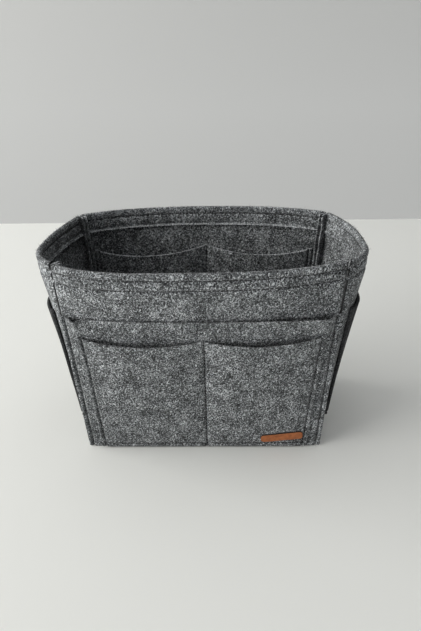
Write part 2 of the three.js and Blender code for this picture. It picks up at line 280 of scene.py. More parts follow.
def new_finish(name):
    """A new material with its node tree and its shader."""
    material = bpy.data.materials.new(name)
    material.use_nodes = True
    return material, material.node_tree, material.node_tree.nodes["Principled BSDF"]


def set_stops(ramp, tones, colours):
    """Gives a colour ramp its colours, each at its tone."""
    for element, tone, colour in zip(ramp.elements, tones, colours):
        element.position = tone
        element.color = colour


def shaded(tree, value, tones, colours):
    """Turns a value into colours, each at its tone."""
    node = add_node(tree, "ValToRGB", {"Fac": value})
    while len(node.color_ramp.elements) < len(tones):
        node.color_ramp.elements.new(0.5)
    set_stops(node.color_ramp, tones, colours)
    return node.outputs["Color"]


def recoloured(material, name, tones, colours):
    """A copy of a material with other colours or tones."""
    copy = material.copy()
    copy.name = name
    for node in copy.node_tree.nodes:
        if node.type == "VALTORGB":
            set_stops(node.color_ramp, tones, colours)
    return copy


# Heather felt: light, grey and near-black fibres a few millimetres long, needled together every
# way. Its cut edges are lighter, from their paler fibre ends and from a painted highlight where
# they catch the light. Faces inside a corner seam take felt of black fibres as painted shade, and
# the end pockets are made of that black felt.
heather_felt, tree, shader = new_finish("heather_felt")
where = add_node(tree, "TexCoord").outputs["Object"]
drift = add_node(tree, "TexNoise", {"Vector": where, "Scale": 210.0, "Detail": 1.0})
curled = add_node(tree, "VectorMath", {0: drift.outputs["Color"], 1: FIBRE_DRIFT, 2: where},
                  operation="MULTIPLY_ADD").outputs["Vector"]
fibres = None
for turn in FIBRE_LAYS:
    lay = add_node(tree, "Mapping", {"Vector": curled, "Rotation": turn, "Scale": FIBRE_SIZE},
                   vector_type="TEXTURE")
    strand = add_node(tree, "TexNoise", {"Vector": lay.outputs["Vector"], "Scale": 1.0,
                                         "Detail": 2.0, "Roughness": 0.55}).outputs["Fac"]
    if fibres is None:
        fibres = strand
    else:
        fibres = add_node(tree, "Math", {0: fibres, 1: strand},
                          operation="MAXIMUM").outputs["Value"]
blotch = add_node(tree, "TexNoise", {"Vector": where, "Scale": 75.0, "Detail": 2.0}).outputs["Fac"]
tone = add_node(tree, "Math", {0: blotch, 1: BLOTCH_SHARE, 2: fibres},
                operation="MULTIPLY_ADD").outputs["Value"]
tree.links.new(shaded(tree, tone, FELT_TONES, HEATHER_FIBRES), shader.inputs["Base Color"])
relief = add_node(tree, "Bump", {"Height": fibres, "Strength": 0.55, "Distance": 0.0009})
tree.links.new(relief.outputs["Normal"], shader.inputs["Normal"])
shader.inputs["Roughness"].default_value = 0.95
shader.inputs["Specular IOR Level"].default_value = 0.15
shader.inputs["Sheen Weight"].default_value = 0.12
shader.inputs["Sheen Roughness"].default_value = 0.6
# The cut edges' felt: paler fibre ends, and a painted highlight where the edges catch the light.
cut_edge_highlight = recoloured(heather_felt, "cut_edge_highlight", CUT_HIGHLIGHT_TONES, HEATHER_FIBRES)
# Felt of black fibres: the end pockets' own colour, and painted shade on the faces inside the
# corner seams.
black_felt = recoloured(heather_felt, "black_felt", FELT_TONES, BLACK_FELT_AND_SEAM_SHADE_FIBRES)


def piece_of(name, mesh, materials):
    """Makes a finished mesh into a piece."""
    for face in mesh.faces:
        face.smooth = True
    data = bpy.data.meshes.new(name)
    mesh.to_mesh(data)
    mesh.free()
    for material in materials:
        data.materials.append(material)
    piece = bpy.data.objects.new(name, data)
    bpy.context.scene.collection.objects.link(piece)
    return piece


def wall_mesh(side, highlight_rows):
    """A wall's felt from its foot up to the rim, over the fold and down inside as the hem."""
    wall_heights = graded(0, FOLD_FOOT, WALL_STEP, FINE_STEP, HEM_ROWS + (BASE_ROW,))
    hem_heights = graded(HEM_EDGE, FOLD_FOOT, WALL_STEP, FINE_STEP, HEM_ROWS)
    stations = [("wall", z) for z in wall_heights]
    stations += [("fold", math.pi * step / FOLD_STEPS) for step in range(1, FOLD_STEPS)]
    stations += [("hem", z) for z in reversed(hem_heights)]
    width = 2 * side.half[1]
    ends = (-width / 2, width / 2)
    shares = [2 * x / width for x in graded(*ends, WALL_STEP, FINE_STEP, ends)]

    def place(column, row, face):
        zone, value = stations[row]
        radius = FOLD_RADIUS - face * FELT
        turned = 0
        if zone == "wall":
            z, depth = value, face * FELT
        elif zone == "fold":
            z = FOLD_FOOT + radius * math.sin(value)
            depth = FOLD_RADIUS - radius * math.cos(value)
            turned = HEM_END_CUT * (1 - math.cos(value)) / 2
        else:
            z, depth = value, FOLD_RADIUS + radius
            depth += HEM_CURL * max(0.0, 1 - (z - HEM_EDGE) / HEM_CURL_HEIGHT) ** 2
            turned = HEM_END_CUT
        notch = SEAM_NOTCH * max(0.0, 1 - (HEIGHT - z) / SEAM_NOTCH_DEPTH)
        half = at_height(side.half, z) - depth - SEAM_DIP - SEAM_GAP - notch - turned
        x = shares[column] * half
        if face == 0:
            drawn = sum(crease(z - row_height) for row_height in HEM_ROWS)
            if zone == "wall":
                drawn += BASE_ROW_DRAW * crease(z - BASE_ROW)
            if zone == "fold":
                drawn *= math.cos(value)
            depth += -drawn if zone == "hem" else drawn
            if zone != "hem":
                depth += SEAM_DIP * math.exp(-(((half - abs(x)) / SEAM_DIP_WIDTH) ** 2))
        return on_side(side, x, z, depth)

    mesh = bmesh.new()
    columns = len(shares) - 1
    bend_blank(mesh, columns, len(stations) - 1, place, square=(0, columns), highlight_rows=highlight_rows,
               # The first rows at the square corner edges take the painted seam shade.
               seam_shade_rows=len(wall_heights) + SEAM_FOLD_ROWS)
    heights = graded(ALLOWANCE_FOOT, ALLOWANCE_TOP, ALLOWANCE_STEP, ALLOWANCE_STEP, ())
    for end in (-1, 1):

        def stand(column, row, face):
            z = heights[row]
            lean = ALLOWANCE_SPLAY * (1 + ripple(z, end, SPLAY_WAVES, side.seed + 2))
            length = ALLOWANCE[1] + ALLOWANCE_RAGGED * ripple(z, end, RAGGED_WAVES, side.seed)
            inwards = ALLOWANCE[0] + (length - ALLOWANCE[0]) * column / ALLOWANCE_COLUMNS
            aside = LAYER_GAP / 2 + FELT * face + lean * column / ALLOWANCE_COLUMNS
            x = at_height(side.half, z) - (inwards + aside) / math.sqrt(2)
            y = (inwards - aside) / math.sqrt(2) - at_height(side.reach, z)
            return settled(side.turn @ Vector((end * x, y, z)))

        bend_blank(mesh, ALLOWANCE_COLUMNS, len(heights) - 1, stand, square=(0,),
                   highlight_sides=False, seam_shade_rows=len(heights))
    return mesh


for name, side, highlight_rows in (("front_wall", FRONT, HEM_HIGHLIGHT_ROWS),
                              ("back_wall", BACK, HEM_HIGHLIGHT_ROWS),
                              ("left_end_wall", LEFT, 0), ("right_end_wall", RIGHT, 0)):
    wall = piece_of(name + "_felt", wall_mesh(side, highlight_rows),
                    (heather_felt, cut_edge_highlight, black_felt))
    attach(wall, "shell")
    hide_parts(name)

# The base panel: one piece of the same felt with its corners cut out and its four edges turned up
# inside the walls, where the bottom row of stitching holds them.
FLANGE = 0.012
FLANGE_BEND = 0.0026
FLOOR_HALF = (FRONT.half[0] - LAYER, FRONT.reach[0] - LAYER)
FLOOR_STEP = 0.004
FLOOR_FINE_STEP = 0.001
FLOOR_WAVE = 0.0006
FLOOR_WAVES = (20, 20)
CORNER_CUT = FLANGE_BEND + 0.0005  # how far into the floor the cut-out corners reach

flat_places = [graded(-half - FLANGE, half + FLANGE, FLOOR_STEP, FLOOR_FINE_STEP,
                      (-half - FLANGE, -half, half, half + FLANGE)) for half in FLOOR_HALF]


def turn_up(place, half, face):
    """Where a place along the flat panel goes across and up, once its edge is turned up."""
    bend_length = FLANGE_BEND * math.pi / 2
    radius = FLANGE_BEND - face * FELT
    run = abs(place) - (half - FLANGE_BEND)
    if run <= 0:
        return place, face * FELT
    turn = min(1.0, run / bend_length) * math.pi / 2
    out = half - FLANGE_BEND + radius * math.sin(turn)
    up = FLANGE_BEND - radius * math.cos(turn) + max(0.0, run - bend_length)
    return math.copysign(out, place), up


def base_place(column, row, face):
    """Where a point of the flat panel goes, once all its edges are turned up."""
    x, x_up = turn_up(flat_places[0][column], FLOOR_HALF[0], face)
    y, y_up = turn_up(flat_places[1][row], FLOOR_HALF[1], face)
    z = max(x_up, y_up)
    lean = at_height(FRONT.half, z) - FRONT.half[0] if x_up > y_up else 0
    floor_wave = FLOOR_WAVE * ripple(x, y, FLOOR_WAVES, 1) if z <= FELT else 0
    return Vector((x + math.copysign(lean, x), y, z + abs(floor_wave)))


def cut_out(column, row):
    """Whether a point of the flat panel lies in a corner that is cut out."""
    return all(abs(places[number]) - half > -CORNER_CUT
               for places, number, half in zip(flat_places, (column, row), FLOOR_HALF))


base_mesh = bmesh.new()
_, column_of, row_of = flat_blank(base_mesh, len(flat_places[0]) - 1, len(flat_places[1]) - 1)
corner_faces = [face for face in base_mesh.faces
                if all(cut_out(vert[column_of], vert[row_of]) for vert in face.verts)]
bmesh.ops.delete(base_mesh, geom=corner_faces, context="FACES")
thicken(base_mesh, base_mesh.faces[:], base_mesh.verts[:], base_place, column_of, row_of)
bmesh.ops.recalc_face_normals(base_mesh, faces=base_mesh.faces[:])
base_panel = piece_of("base_panel_felt", base_mesh, (heather_felt,))
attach(base_panel, "shell")
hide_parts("base_panel")

# The large front pocket: one felt panel over nearly the whole front, sewn to the front wall beside
# its cut side edges. Its mouth puckers at the left and stands off the wall towards the right. It is
# shaped as two halves, each from a sewn side to the middle.
LARGE_INSET = 0.0042  # from a cut side edge to its row of stitching
LARGE_LIFT = 0.0004
LARGE_TOP = 0.151
MOUTH_SLACK = 0.0004  # how far the whole mouth stands off the wall
MOUTH_GAPE = 0.0064  # how much further it stands off at its widest
GAPE_START = -0.005
GAPE_WIDEST = 0.109
GAPE_GROWTH = 1.5
GAPE_END = 0.006  # how far past its widest place the gape ends
GAPE_RISE = 8  # how steeply the gape grows up the pocket
PUCKER = 0.0056
PUCKER_PLACE = -0.1072
PUCKER_WIDTH = 0.0042
PUCKER_RISE = 14
EDGE_FALL = 0.0002  # how far a cut edge lies down beyond its row of stitching
ROW_DRAW = 1.8  # how much deeper a pocket's side rows are drawn in than the hem's
ROW_WIDTH = 0.0010
FOOT_ROW_DRAW = 0.6
FOOT_CORNER = 0.002  # how far a pocket's lower corners are rounded
BELLY_RISE = 0.85  # how steeply a pocket's belly grows up to its mouth
POCKET_STEP = 0.0028
POCKET_HEIGHT = 0.15  # of the blank that its rows are measured on
POCKET_ROW_STEP = 0.0032
POCKET_FINE_ROW_STEP = 0.001
POCKET_FOOT_ROW = 0.0045

# A pocket lies between its left and right edges, from low up to its mouth, which top gives at both
# ends. Its insets run from its edges to their rows of stitching, and its foot from low up to the
# foot's row. They are 0 where the pocket has no such row of its own.
Pocket = namedtuple("Pocket", "side left right low top scoop belly depth insets foot")


def mouth(pocket, share):
    """The height of a pocket's mouth, at a share of the way from its left to its right edge."""
    level = pocket.top[0] + (pocket.top[1] - pocket.top[0]) * share
    return level - pocket.scoop * 4 * share * (1 - share)


def pocket_depth(pocket, x, z):
    """The depth of a pocket's outer face, counted inwards from the wall's outer face."""
    left, right = pocket.left(z), pocket.right(z)
    share = (x - left) / (right - left)
    height = max(0.0, (z - pocket.low) / (mouth(pocket, share) - pocket.low))
    full = 4 * share * (1 - share) * height ** BELLY_RISE
    drawn = FOOT_ROW_DRAW * crease(z - pocket.low - pocket.foot) if pocket.foot else 0
    for distance, inset in zip((x - left, right - x), pocket.insets):
        if inset:
            drawn += ROW_DRAW * crease(distance - inset, ROW_WIDTH)
            drawn += EDGE_FALL * max(0.0, 1 - distance / inset) ** 2
        else:
            drawn += crease(distance)
    return pocket.depth(x, z) - pocket.belly * full + drawn * math.copysign(1, pocket.belly)


def large_depth(x, z):
    """The large pocket's outer face, with its gape and its pucker."""
    gape = MOUTH_SLACK
    if GAPE_START < x < GAPE_WIDEST:
        gape += MOUTH_GAPE * ((x - GAPE_START) / (GAPE_WIDEST - GAPE_START)) ** GAPE_GROWTH
    elif x > GAPE_WIDEST:
        gape += MOUTH_GAPE * max(0.0, 1 - ((x - GAPE_WIDEST) / GAPE_END) ** 2)
    pucker = PUCKER * math.exp(-(((x - PUCKER_PLACE) / PUCKER_WIDTH) ** 2))
    return -LAYER - gape * (z / LARGE_TOP) ** GAPE_RISE - pucker * (z / LARGE_TOP) ** PUCKER_RISE


def pocket_half(name, pocket, end, pale_top=False, materials=(heather_felt, cut_edge_highlight)):
    """One half of a pocket, from its sewn edge to its middle: end is -1 for the left half and 1 for
    the right half."""
    width = pocket.right(pocket.low) - pocket.left(pocket.low)
    inset = pocket.insets[0] if end < 0 else pocket.insets[1]
    shares = [x / width
              for x in graded(0, width / 2, POCKET_STEP, FINE_STEP, (FINE_STEP, inset))]
    rises = [z / POCKET_HEIGHT
             for z in graded(0, POCKET_HEIGHT, POCKET_ROW_STEP, POCKET_FINE_ROW_STEP,
                             (0.0, POCKET_FOOT_ROW, POCKET_HEIGHT))]

    def place(column, row, face):
        share = shares[column] if end < 0 else 1 - shares[column]
        corner = max(0.0, 1 - shares[column] * width / FOOT_CORNER) if inset else 0
        foot = pocket.low + FOOT_CORNER * (1 - math.sqrt(1 - corner ** 2))
        z = foot + (mouth(pocket, share) - foot) * rises[row]
        x = pocket.left(z) + (pocket.right(z) - pocket.left(z)) * share
        return on_side(pocket.side, x, z, pocket_depth(pocket, x, z) + FELT * face)

    mesh = bmesh.new()
    columns = len(shares) - 1
    bend_blank(mesh, columns, len(rises) - 1, place, square=(columns,), pale_top=pale_top)
    return piece_of(name, mesh, materials)


large_pocket = Pocket(
    side=FRONT, left=lambda z: -at_height(FRONT.half, z), right=lambda z: at_height(FRONT.half, z),
    low=LARGE_LIFT, top=(LARGE_TOP, LARGE_TOP), scoop=0, belly=0, depth=large_depth,
    insets=(LARGE_INSET, LARGE_INSET), foot=BASE_ROW - LARGE_LIFT)
TWIN_MARGIN = 0.0132  # from the wall's sides to the left and right front pockets
TWIN_LEAN = 0.0025  # how much the right-hand pocket's edge leans outwards over its height

for word, end in (("left", -1), ("right", 1)):
    half = pocket_half(f"front_large_pocket_{word}_half", large_pocket, end)
    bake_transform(half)
    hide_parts("front_large_pocket")
    at_height(FRONT.half, LARGE_TOP)

# The left and right front pockets: felt on the large pocket, with scooped mouths that stand open a
# little, sewn down beside their outer cut edges, along their foot and at a shared row near the
# middle.
STITCH_INSET = 0.0038
TWIN_LIFT = 0.0016
MIDDLE = 0.003
MIDDLE_GAP = 0.00005
TWIN_TOP = 0.1325
TWIN_MIDDLE_TOP = 0.1305
TWIN_SCOOP = 0.004
TWIN_BELLY = 0.0065
LEAN_TURN = 0.3  # the share of its height at which the leaning edge keeps its margin


def twin_depth(x, z):
    """Where the two pockets lie: one layer outside the large pocket."""
    return large_depth(x, z) - LAYER


left_twin = Pocket(
    side=FRONT, left=lambda z: TWIN_MARGIN - at_height(FRONT.half, z),
    right=lambda z: MIDDLE - MIDDLE_GAP, low=TWIN_LIFT, top=(TWIN_TOP, TWIN_MIDDLE_TOP),
    scoop=TWIN_SCOOP, belly=TWIN_BELLY, depth=twin_depth, insets=(STITCH_INSET, 0),
    foot=BASE_ROW - TWIN_LIFT)
right_twin = left_twin._replace(
    left=lambda z: MIDDLE + MIDDLE_GAP,
    right=lambda z: (at_height(FRONT.half, z) - TWIN_MARGIN
                     + TWIN_LEAN * (z / TWIN_TOP - LEAN_TURN)),
    top=(TWIN_MIDDLE_TOP, TWIN_TOP), insets=(0, STITCH_INSET))

for word, pocket in (("left", left_twin), ("right", right_twin)):
    left, right = pocket.left(TWIN_TOP / 2), pocket.right(TWIN_TOP / 2)
    for part, end in (("left", -1), ("right", 1)):
        half = pocket_half(f"front_{word}_pocket_{part}_half", pocket, end)
        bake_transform(half)
        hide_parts(f"front_{word}_pocket")

# The leather label: a strip of tan leather with rounded corners and burnished edges, glued flat
# and a little askew low on the right-hand front pocket.
LABEL_LENGTH = 0.041
LABEL_WIDTH = 0.009
LABEL_THICKNESS = 0.0016
LABEL_CORNER = 0.0034
LABEL_ROUND = 0.0005
LABEL_TILT = math.radians(6)
LABEL_MIDDLE = (0.0756, 0.0154)
LABEL_GLUE = 0.0001
LABEL_STEPS = 20
LABEL_EDGE_SLOPE = 0.8  # a face that looks less upwards than this belongs to the edge
LEATHER_TONES = (0.30, 0.62)
LEATHER_COLOURS = ((0.23, 0.070, 0.021, 1), (0.385, 0.122, 0.036, 1))
BURNISHED_COLOURS = ((0.004, 0.003, 0.002, 1), (0.030, 0.013, 0.007, 1))

label_mesh = bmesh.new()
bmesh.ops.create_grid(label_mesh, x_segments=1, y_segments=1, size=0.5)
bmesh.ops.scale(label_mesh, vec=(LABEL_LENGTH, LABEL_WIDTH, 1), verts=label_mesh.verts[:])
bmesh.ops.bevel(label_mesh, geom=label_mesh.verts[:], offset=LABEL_CORNER, segments=5, profile=0.5,
                affect="VERTICES", material=-1)
grown = bmesh.ops.extrude_face_region(label_mesh, geom=label_mesh.faces[:])["geom"]
bmesh.ops.translate(label_mesh, vec=(0, 0, LABEL_THICKNESS),
                    verts=[part for part in grown if isinstance(part, bmesh.types.BMVert)])
bmesh.ops.recalc_face_normals(label_mesh, faces=label_mesh.faces[:])
rim = [edge for edge in label_mesh.edges
       if all(vert.co.z > LABEL_THICKNESS / 2 for vert in edge.verts)]
bmesh.ops.bevel(label_mesh, geom=rim, offset=LABEL_ROUND, segments=3, profile=0.5, affect="EDGES",
                material=-1)
label_mesh.normal_update()
for face in label_mesh.faces:
    face.material_index = int(face.normal.z < LABEL_EDGE_SLOPE)
for step in range(1, LABEL_STEPS):
    whole = label_mesh.verts[:] + label_mesh.edges[:] + label_mesh.faces[:]
    bmesh.ops.bisect_plane(label_mesh, geom=whole, plane_no=(1, 0, 0),
                           plane_co=(LABEL_LENGTH * (step / LABEL_STEPS - 0.5), 0, 0))
for vert in label_mesh.verts:
    along, aside, up = vert.co
    x = LABEL_MIDDLE[0] + along * math.cos(LABEL_TILT) - aside * math.sin(LABEL_TILT)
    z = LABEL_MIDDLE[1] + along * math.sin(LABEL_TILT) + aside * math.cos(LABEL_TILT)
    vert.co = on_side(FRONT, x, z, pocket_depth(right_twin, x, z) - LABEL_GLUE - up)

tan_leather, tree, shader = new_finish("tan_leather")
where = add_node(tree, "TexCoord").outputs["Object"]
patina = add_node(tree, "TexNoise", {"Vector": where, "Scale": 320.0, "Detail": 4.0,
                                     "Roughness": 0.6}).outputs["Fac"]
pores = add_node(tree, "TexVoronoi", {"Vector": where, "Scale": 1900.0}).outputs["Distance"]
tree.links.new(shaded(tree, patina, LEATHER_TONES, LEATHER_COLOURS), shader.inputs["Base Color"])
relief = add_node(tree, "Bump", {"Height": pores, "Strength": 0.35, "Distance": 0.0002})
tree.links.new(relief.outputs["Normal"], shader.inputs["Normal"])
shader.inputs["Roughness"].default_value = 0.52
shader.inputs["Specular IOR Level"].default_value = 0.4
burnished_edge = recoloured(tan_leather, "burnished_leather_edge", LEATHER_TONES,
                            BURNISHED_COLOURS)
label = piece_of("leather_label_strip", label_mesh, (tan_leather, burnished_edge))
left, right = right_twin.left(TWIN_TOP / 2), right_twin.right(TWIN_TOP / 2)
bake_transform(label)
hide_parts("leather_label")

# The end pockets: a panel of black felt on each end wall, sewn beside its side edges and along its
# foot. From the front they show only as dark strips behind the front corners.
END_POCKET_LOW = 0.0315
END_POCKET_TOP = 0.151
END_POCKET_MARGIN = 0.0065
END_POCKET_BELLY = 0.0015
END_POCKET_SLACK = 0.0006  # how far it stands off the wall

end_pockets = {}
for word, side in (("left", LEFT), ("right", RIGHT)):
    pocket = Pocket(
        side=side, left=lambda z: END_POCKET_MARGIN - RIGHT.half[0],
        right=lambda z: RIGHT.half[0] - END_POCKET_MARGIN, low=END_POCKET_LOW,
        top=(END_POCKET_TOP, END_POCKET_TOP), scoop=0, belly=END_POCKET_BELLY,
        depth=lambda x, z: -LAYER - END_POCKET_SLACK, insets=(STITCH_INSET, STITCH_INSET),
        foot=STITCH_INSET)
    end_pockets[word] = pocket
    width = pocket.right(0) - pocket.left(0)
    for part, end in (("left", -1), ("right", 1)):
        half = pocket_half(f"{word}_end_pocket_{part}_half", pocket, end,
                           materials=(black_felt, black_felt))
        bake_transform(half)
        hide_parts(word + "_end_pocket")

# The inner pockets: two felt panels on the inside of the back wall, with scooped mouths that stand
# off the wall, sewn beside the corner seams and at a shared row near the middle.
INNER_LOW = 0.0124
INNER_TOP = 0.161
INNER_SCOOP = 0.0050
INNER_BELLY = -0.0125
INNER_SIDE = 0.0106  # from the corner seam

inner_right = Pocket(
    side=BACK, left=lambda z: INNER_SIDE - at_height(BACK.half, z),
    right=lambda z: -MIDDLE - MIDDLE_GAP, low=INNER_LOW, top=(INNER_TOP, INNER_TOP),
    scoop=INNER_SCOOP, belly=INNER_BELLY, depth=lambda x, z: LAYER, insets=(STITCH_INSET, 0),
    foot=0)
inner_left = inner_right._replace(
    left=lambda z: MIDDLE_GAP - MIDDLE, right=lambda z: at_height(BACK.half, z) - INNER_SIDE,
    insets=(0, STITCH_INSET))

for word, pocket in (("left", inner_left), ("right", inner_right)):
    left, right = pocket.left(INNER_TOP / 2), pocket.right(INNER_TOP / 2)
    for part, end in (("left", -1), ("right", 1)):
        # Their mouths' cut edges take the painted highlight.
        half = pocket_half(f"inner_{word}_pocket_{part}_half", pocket, end, pale_top=True)
        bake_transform(half)
        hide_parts(f"inner_{word}_pocket")

# The stitching: dark grey sewing thread, in rows of separate lockstitches that draw the felt in.
# Most rows show on both faces of the felt that they go through. Each row is attached to the body
# named for the felt that holds its edge.
PITCH = 0.0036
STITCH_LENGTH = 0.0030
STITCH_SLANT = 0.12
STITCH_PROUD = 0.15  # how far a stitch stands out, as a share of the thread's thickness
PROBE = 0.0005  # a short way along the felt, which tells how it lies there
# The thread is thicker than real sewing thread, so that its dark colour also paints the shade in
# each row's crease.
THREAD = 0.0011
THREAD_TONES = (0.35, 0.65)
THREAD_COLOURS = ((0.005, 0.005, 0.0055, 1), (0.014, 0.0145, 0.0155, 1))
ROW_END = 0.004  # from a row's last stitch to the corner seam

one_stitch = bmesh.new()
bmesh.ops.create_uvsphere(one_stitch, u_segments=6, v_segments=4, radius=0.5)
stitch_data = bpy.data.meshes.new("stitch")
one_stitch.to_mesh(stitch_data)
one_stitch.free()

dark_thread, tree, shader = new_finish("dark_thread")
where = add_node(tree, "TexCoord").outputs["Object"]
twist = add_node(tree, "TexNoise", {"Vector": where, "Scale": 2400.0, "Detail": 1.0}).outputs["Fac"]
tree.links.new(shaded(tree, twist, THREAD_TONES, THREAD_COLOURS), shader.inputs["Base Color"])
relief = add_node(tree, "Bump", {"Height": twist, "Strength": 0.4, "Distance": 0.0002})
tree.links.new(relief.outputs["Normal"], shader.inputs["Normal"])
shader.inputs["Roughness"].default_value = 0.7


def set_down(mesh, shape, place):
    """Adds a copy of a small shape to a mesh, moved by a matrix."""
    copy = shape.copy()
    copy.transform(place)
    mesh.from_mesh(copy)
    bpy.data.meshes.remove(copy)


def sew(mesh, side, start, end, depth, facing):
    """Lays stitches on a face of a side from one (x, z) point to another. depth() is the face's
    depth, and facing is 1 where the face looks outwards and -1 where it looks inwards."""
    start, end = Vector(start), Vector(end)
    count = max(1, round((end - start).length / PITCH))
    ahead = (end - start).normalized() * PROBE
    for number in range(count):
        x, z = start.lerp(end, (number + 0.5) / count)
        deep = depth(x, z)
        spot = on_side(side, x, z, deep)
        run = (on_side(side, x + ahead.x, z + ahead.y, deep) - spot).normalized()
        level = on_side(side, x + PROBE, z, deep) - spot
        upright = on_side(side, x, z + PROBE, deep) - spot
        out = level.cross(upright).normalized() * facing
        across = out.cross(run)
        run = (run + STITCH_SLANT * across).normalized()
        lay = Matrix((across * THREAD, out * THREAD, run * STITCH_LENGTH)).transposed().to_4x4()
        lay.translation = spot + out * THREAD * STITCH_PROUD
        set_down(mesh, stitch_data, lay)


def stitching(node, body, runs):
    """A piece for one row of stitching: its runs are what sew() takes."""
    mesh = bmesh.new()
    for run in runs:
        sew(mesh, *run)
    bmesh.ops.recalc_face_normals(mesh, faces=mesh.faces[:])
    row = piece_of(node + "_thread", mesh, (dark_thread,))
    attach(row, body)
    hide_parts(node)


def level_row(half, z):
    """The two ends of a level row that reaches as far to the left as to the right."""
    return (-half, z), (half, z)


def at_depth(depth):
    """A face that lies at one depth all over."""
    return lambda x, z: depth


def face_of(pocket, deeper=0):
    """A pocket's outer face, or the face that lies so much deeper."""
    return lambda x, z: pocket_depth(pocket, x, z) + deeper


def beside(pocket, end, low, top):
    """The two ends of a row beside a pocket's left or right edge."""
    edge, inset = (pocket.left, pocket.insets[0]) if end < 0 else (pocket.right, pocket.insets[1])
    return (edge(low) - end * inset, low), (edge(top) - end * inset, top)


for word, side in (("front", FRONT), ("back", BACK), ("left_end", LEFT), ("right_end", RIGHT)):
    for row_name, z in zip(("upper", "lower"), HEM_ROWS):
        half = at_height(side.half, z) - ROW_END
        inner_half = half - 2 * FOLD_RADIUS
        stitching(f"{word}_hem_{row_name}_stitching", "shell", (
            (side, *level_row(half, z), at_depth(CREASE_DEPTH), 1),
            (side, *level_row(inner_half, z), at_depth(2 * FOLD_RADIUS - CREASE_DEPTH), -1)))
    if word != "front":
        half = at_height(side.half, BASE_ROW) - ROW_END
        inner_half = half - LAYER - FELT
        stitching(f"{word}_base_stitching", "shell", (
            (side, *level_row(half, BASE_ROW), at_depth(CREASE_DEPTH * BASE_ROW_DRAW), 1),
            (side, *level_row(inner_half, BASE_ROW), at_depth(LAYER + FELT), -1)))

for word, end, pocket in (("left", -1, left_twin), ("right", 1, right_twin)):
    ends = beside(large_pocket, end, LARGE_LIFT + 2 * THREAD, LARGE_TOP - THREAD)
    stitching(f"front_large_pocket_{word}_stitching", "shell", (
        (FRONT, *ends, face_of(large_pocket), 1), (FRONT, *ends, at_depth(FELT), -1)))
    ends = beside(pocket, end, TWIN_LIFT + 2 * THREAD, TWIN_TOP - THREAD)
    stitching(f"front_{word}_pocket_side_stitching", "large_pocket", (
        (FRONT, *ends, face_of(pocket), 1),))
    ends = ((pocket.left(BASE_ROW) + STITCH_INSET, BASE_ROW),
            (pocket.right(BASE_ROW) - STITCH_INSET, BASE_ROW))
    stitching(f"front_{word}_pocket_bottom_stitching", "large_pocket", (
        (FRONT, *ends, face_of(pocket), 1),))
ends = (MIDDLE, TWIN_LIFT + 2 * THREAD), (MIDDLE, TWIN_TOP - THREAD)
stitching("front_middle_stitching", "large_pocket", (
    (FRONT, *ends, lambda x, z: twin_depth(x, z) + CREASE_DEPTH, 1),))

for word, side in (("left", LEFT), ("right", RIGHT)):
    pocket = end_pockets[word]
    low = END_POCKET_LOW + STITCH_INSET
    left_row, right_row = (beside(pocket, end, low, END_POCKET_TOP) for end in (-1, 1))
    runs = []
    for ends in (left_row, right_row, (left_row[0], right_row[0])):
        runs += [(side, *ends, face_of(pocket), 1), (side, *ends, at_depth(FELT), -1)]
    stitching(f"{word}_end_pocket_stitching", "shell", runs)

for word, pocket, end in (("right", inner_right, -1), ("left", inner_left, 1)):
    ends = beside(pocket, end, INNER_LOW + THREAD, INNER_TOP - THREAD)
    stitching(f"inner_{word}_pocket_side_stitching", "shell", (
        (BACK, *ends, face_of(pocket, FELT), -1), (BACK, *ends, at_depth(0), 1)))
ends = (-MIDDLE, INNER_LOW + THREAD), (-MIDDLE, INNER_TOP - THREAD)
stitching("inner_middle_stitching", "shell", (
    (BACK, *ends, at_depth(LAYER + FELT - CREASE_DEPTH), -1), (BACK, *ends, at_depth(0), 1)))
bpy.data.meshes.remove(stitch_data)

# Loose fibres: short hairs that stand out of the felt along the folded rim, as on any needled felt.
# They are a mix of dark and grey ones, and each keeps its root in the fold.
FIBRES_PER_METRE = 3200
FOLD_SHARE = (0.05, 0.95)  # the part of the fold that they stand on
FIBRE_ENDS = (0.00007, 0.00003)  # the radius at the root and at the tip
FIBRE_LENGTH = (0.0006, 0.0026)  # the shortest, and how much longer the longest is
FIBRE_STRAY = (0.8, 0.8, 0.5)
FIBRE_PROUD = 0.35  # how far a fibre's middle stands out, as a share of its length
LOOSE_TONES = (0.38, 0.62)
LOOSE_COLOURS = (FIBRE_DARK, (0.17, 0.175, 0.18, 1))

loose_felt, tree, shader = new_finish("loose_felt_fibre")
where = add_node(tree, "TexCoord").outputs["Object"]
shade = add_node(tree, "TexNoise", {"Vector": where, "Scale": 900.0, "Detail": 0.0}).outputs["Fac"]
tree.links.new(shaded(tree, shade, LOOSE_TONES, LOOSE_COLOURS), shader.inputs["Base Color"])
shader.inputs["Roughness"].default_value = 0.9

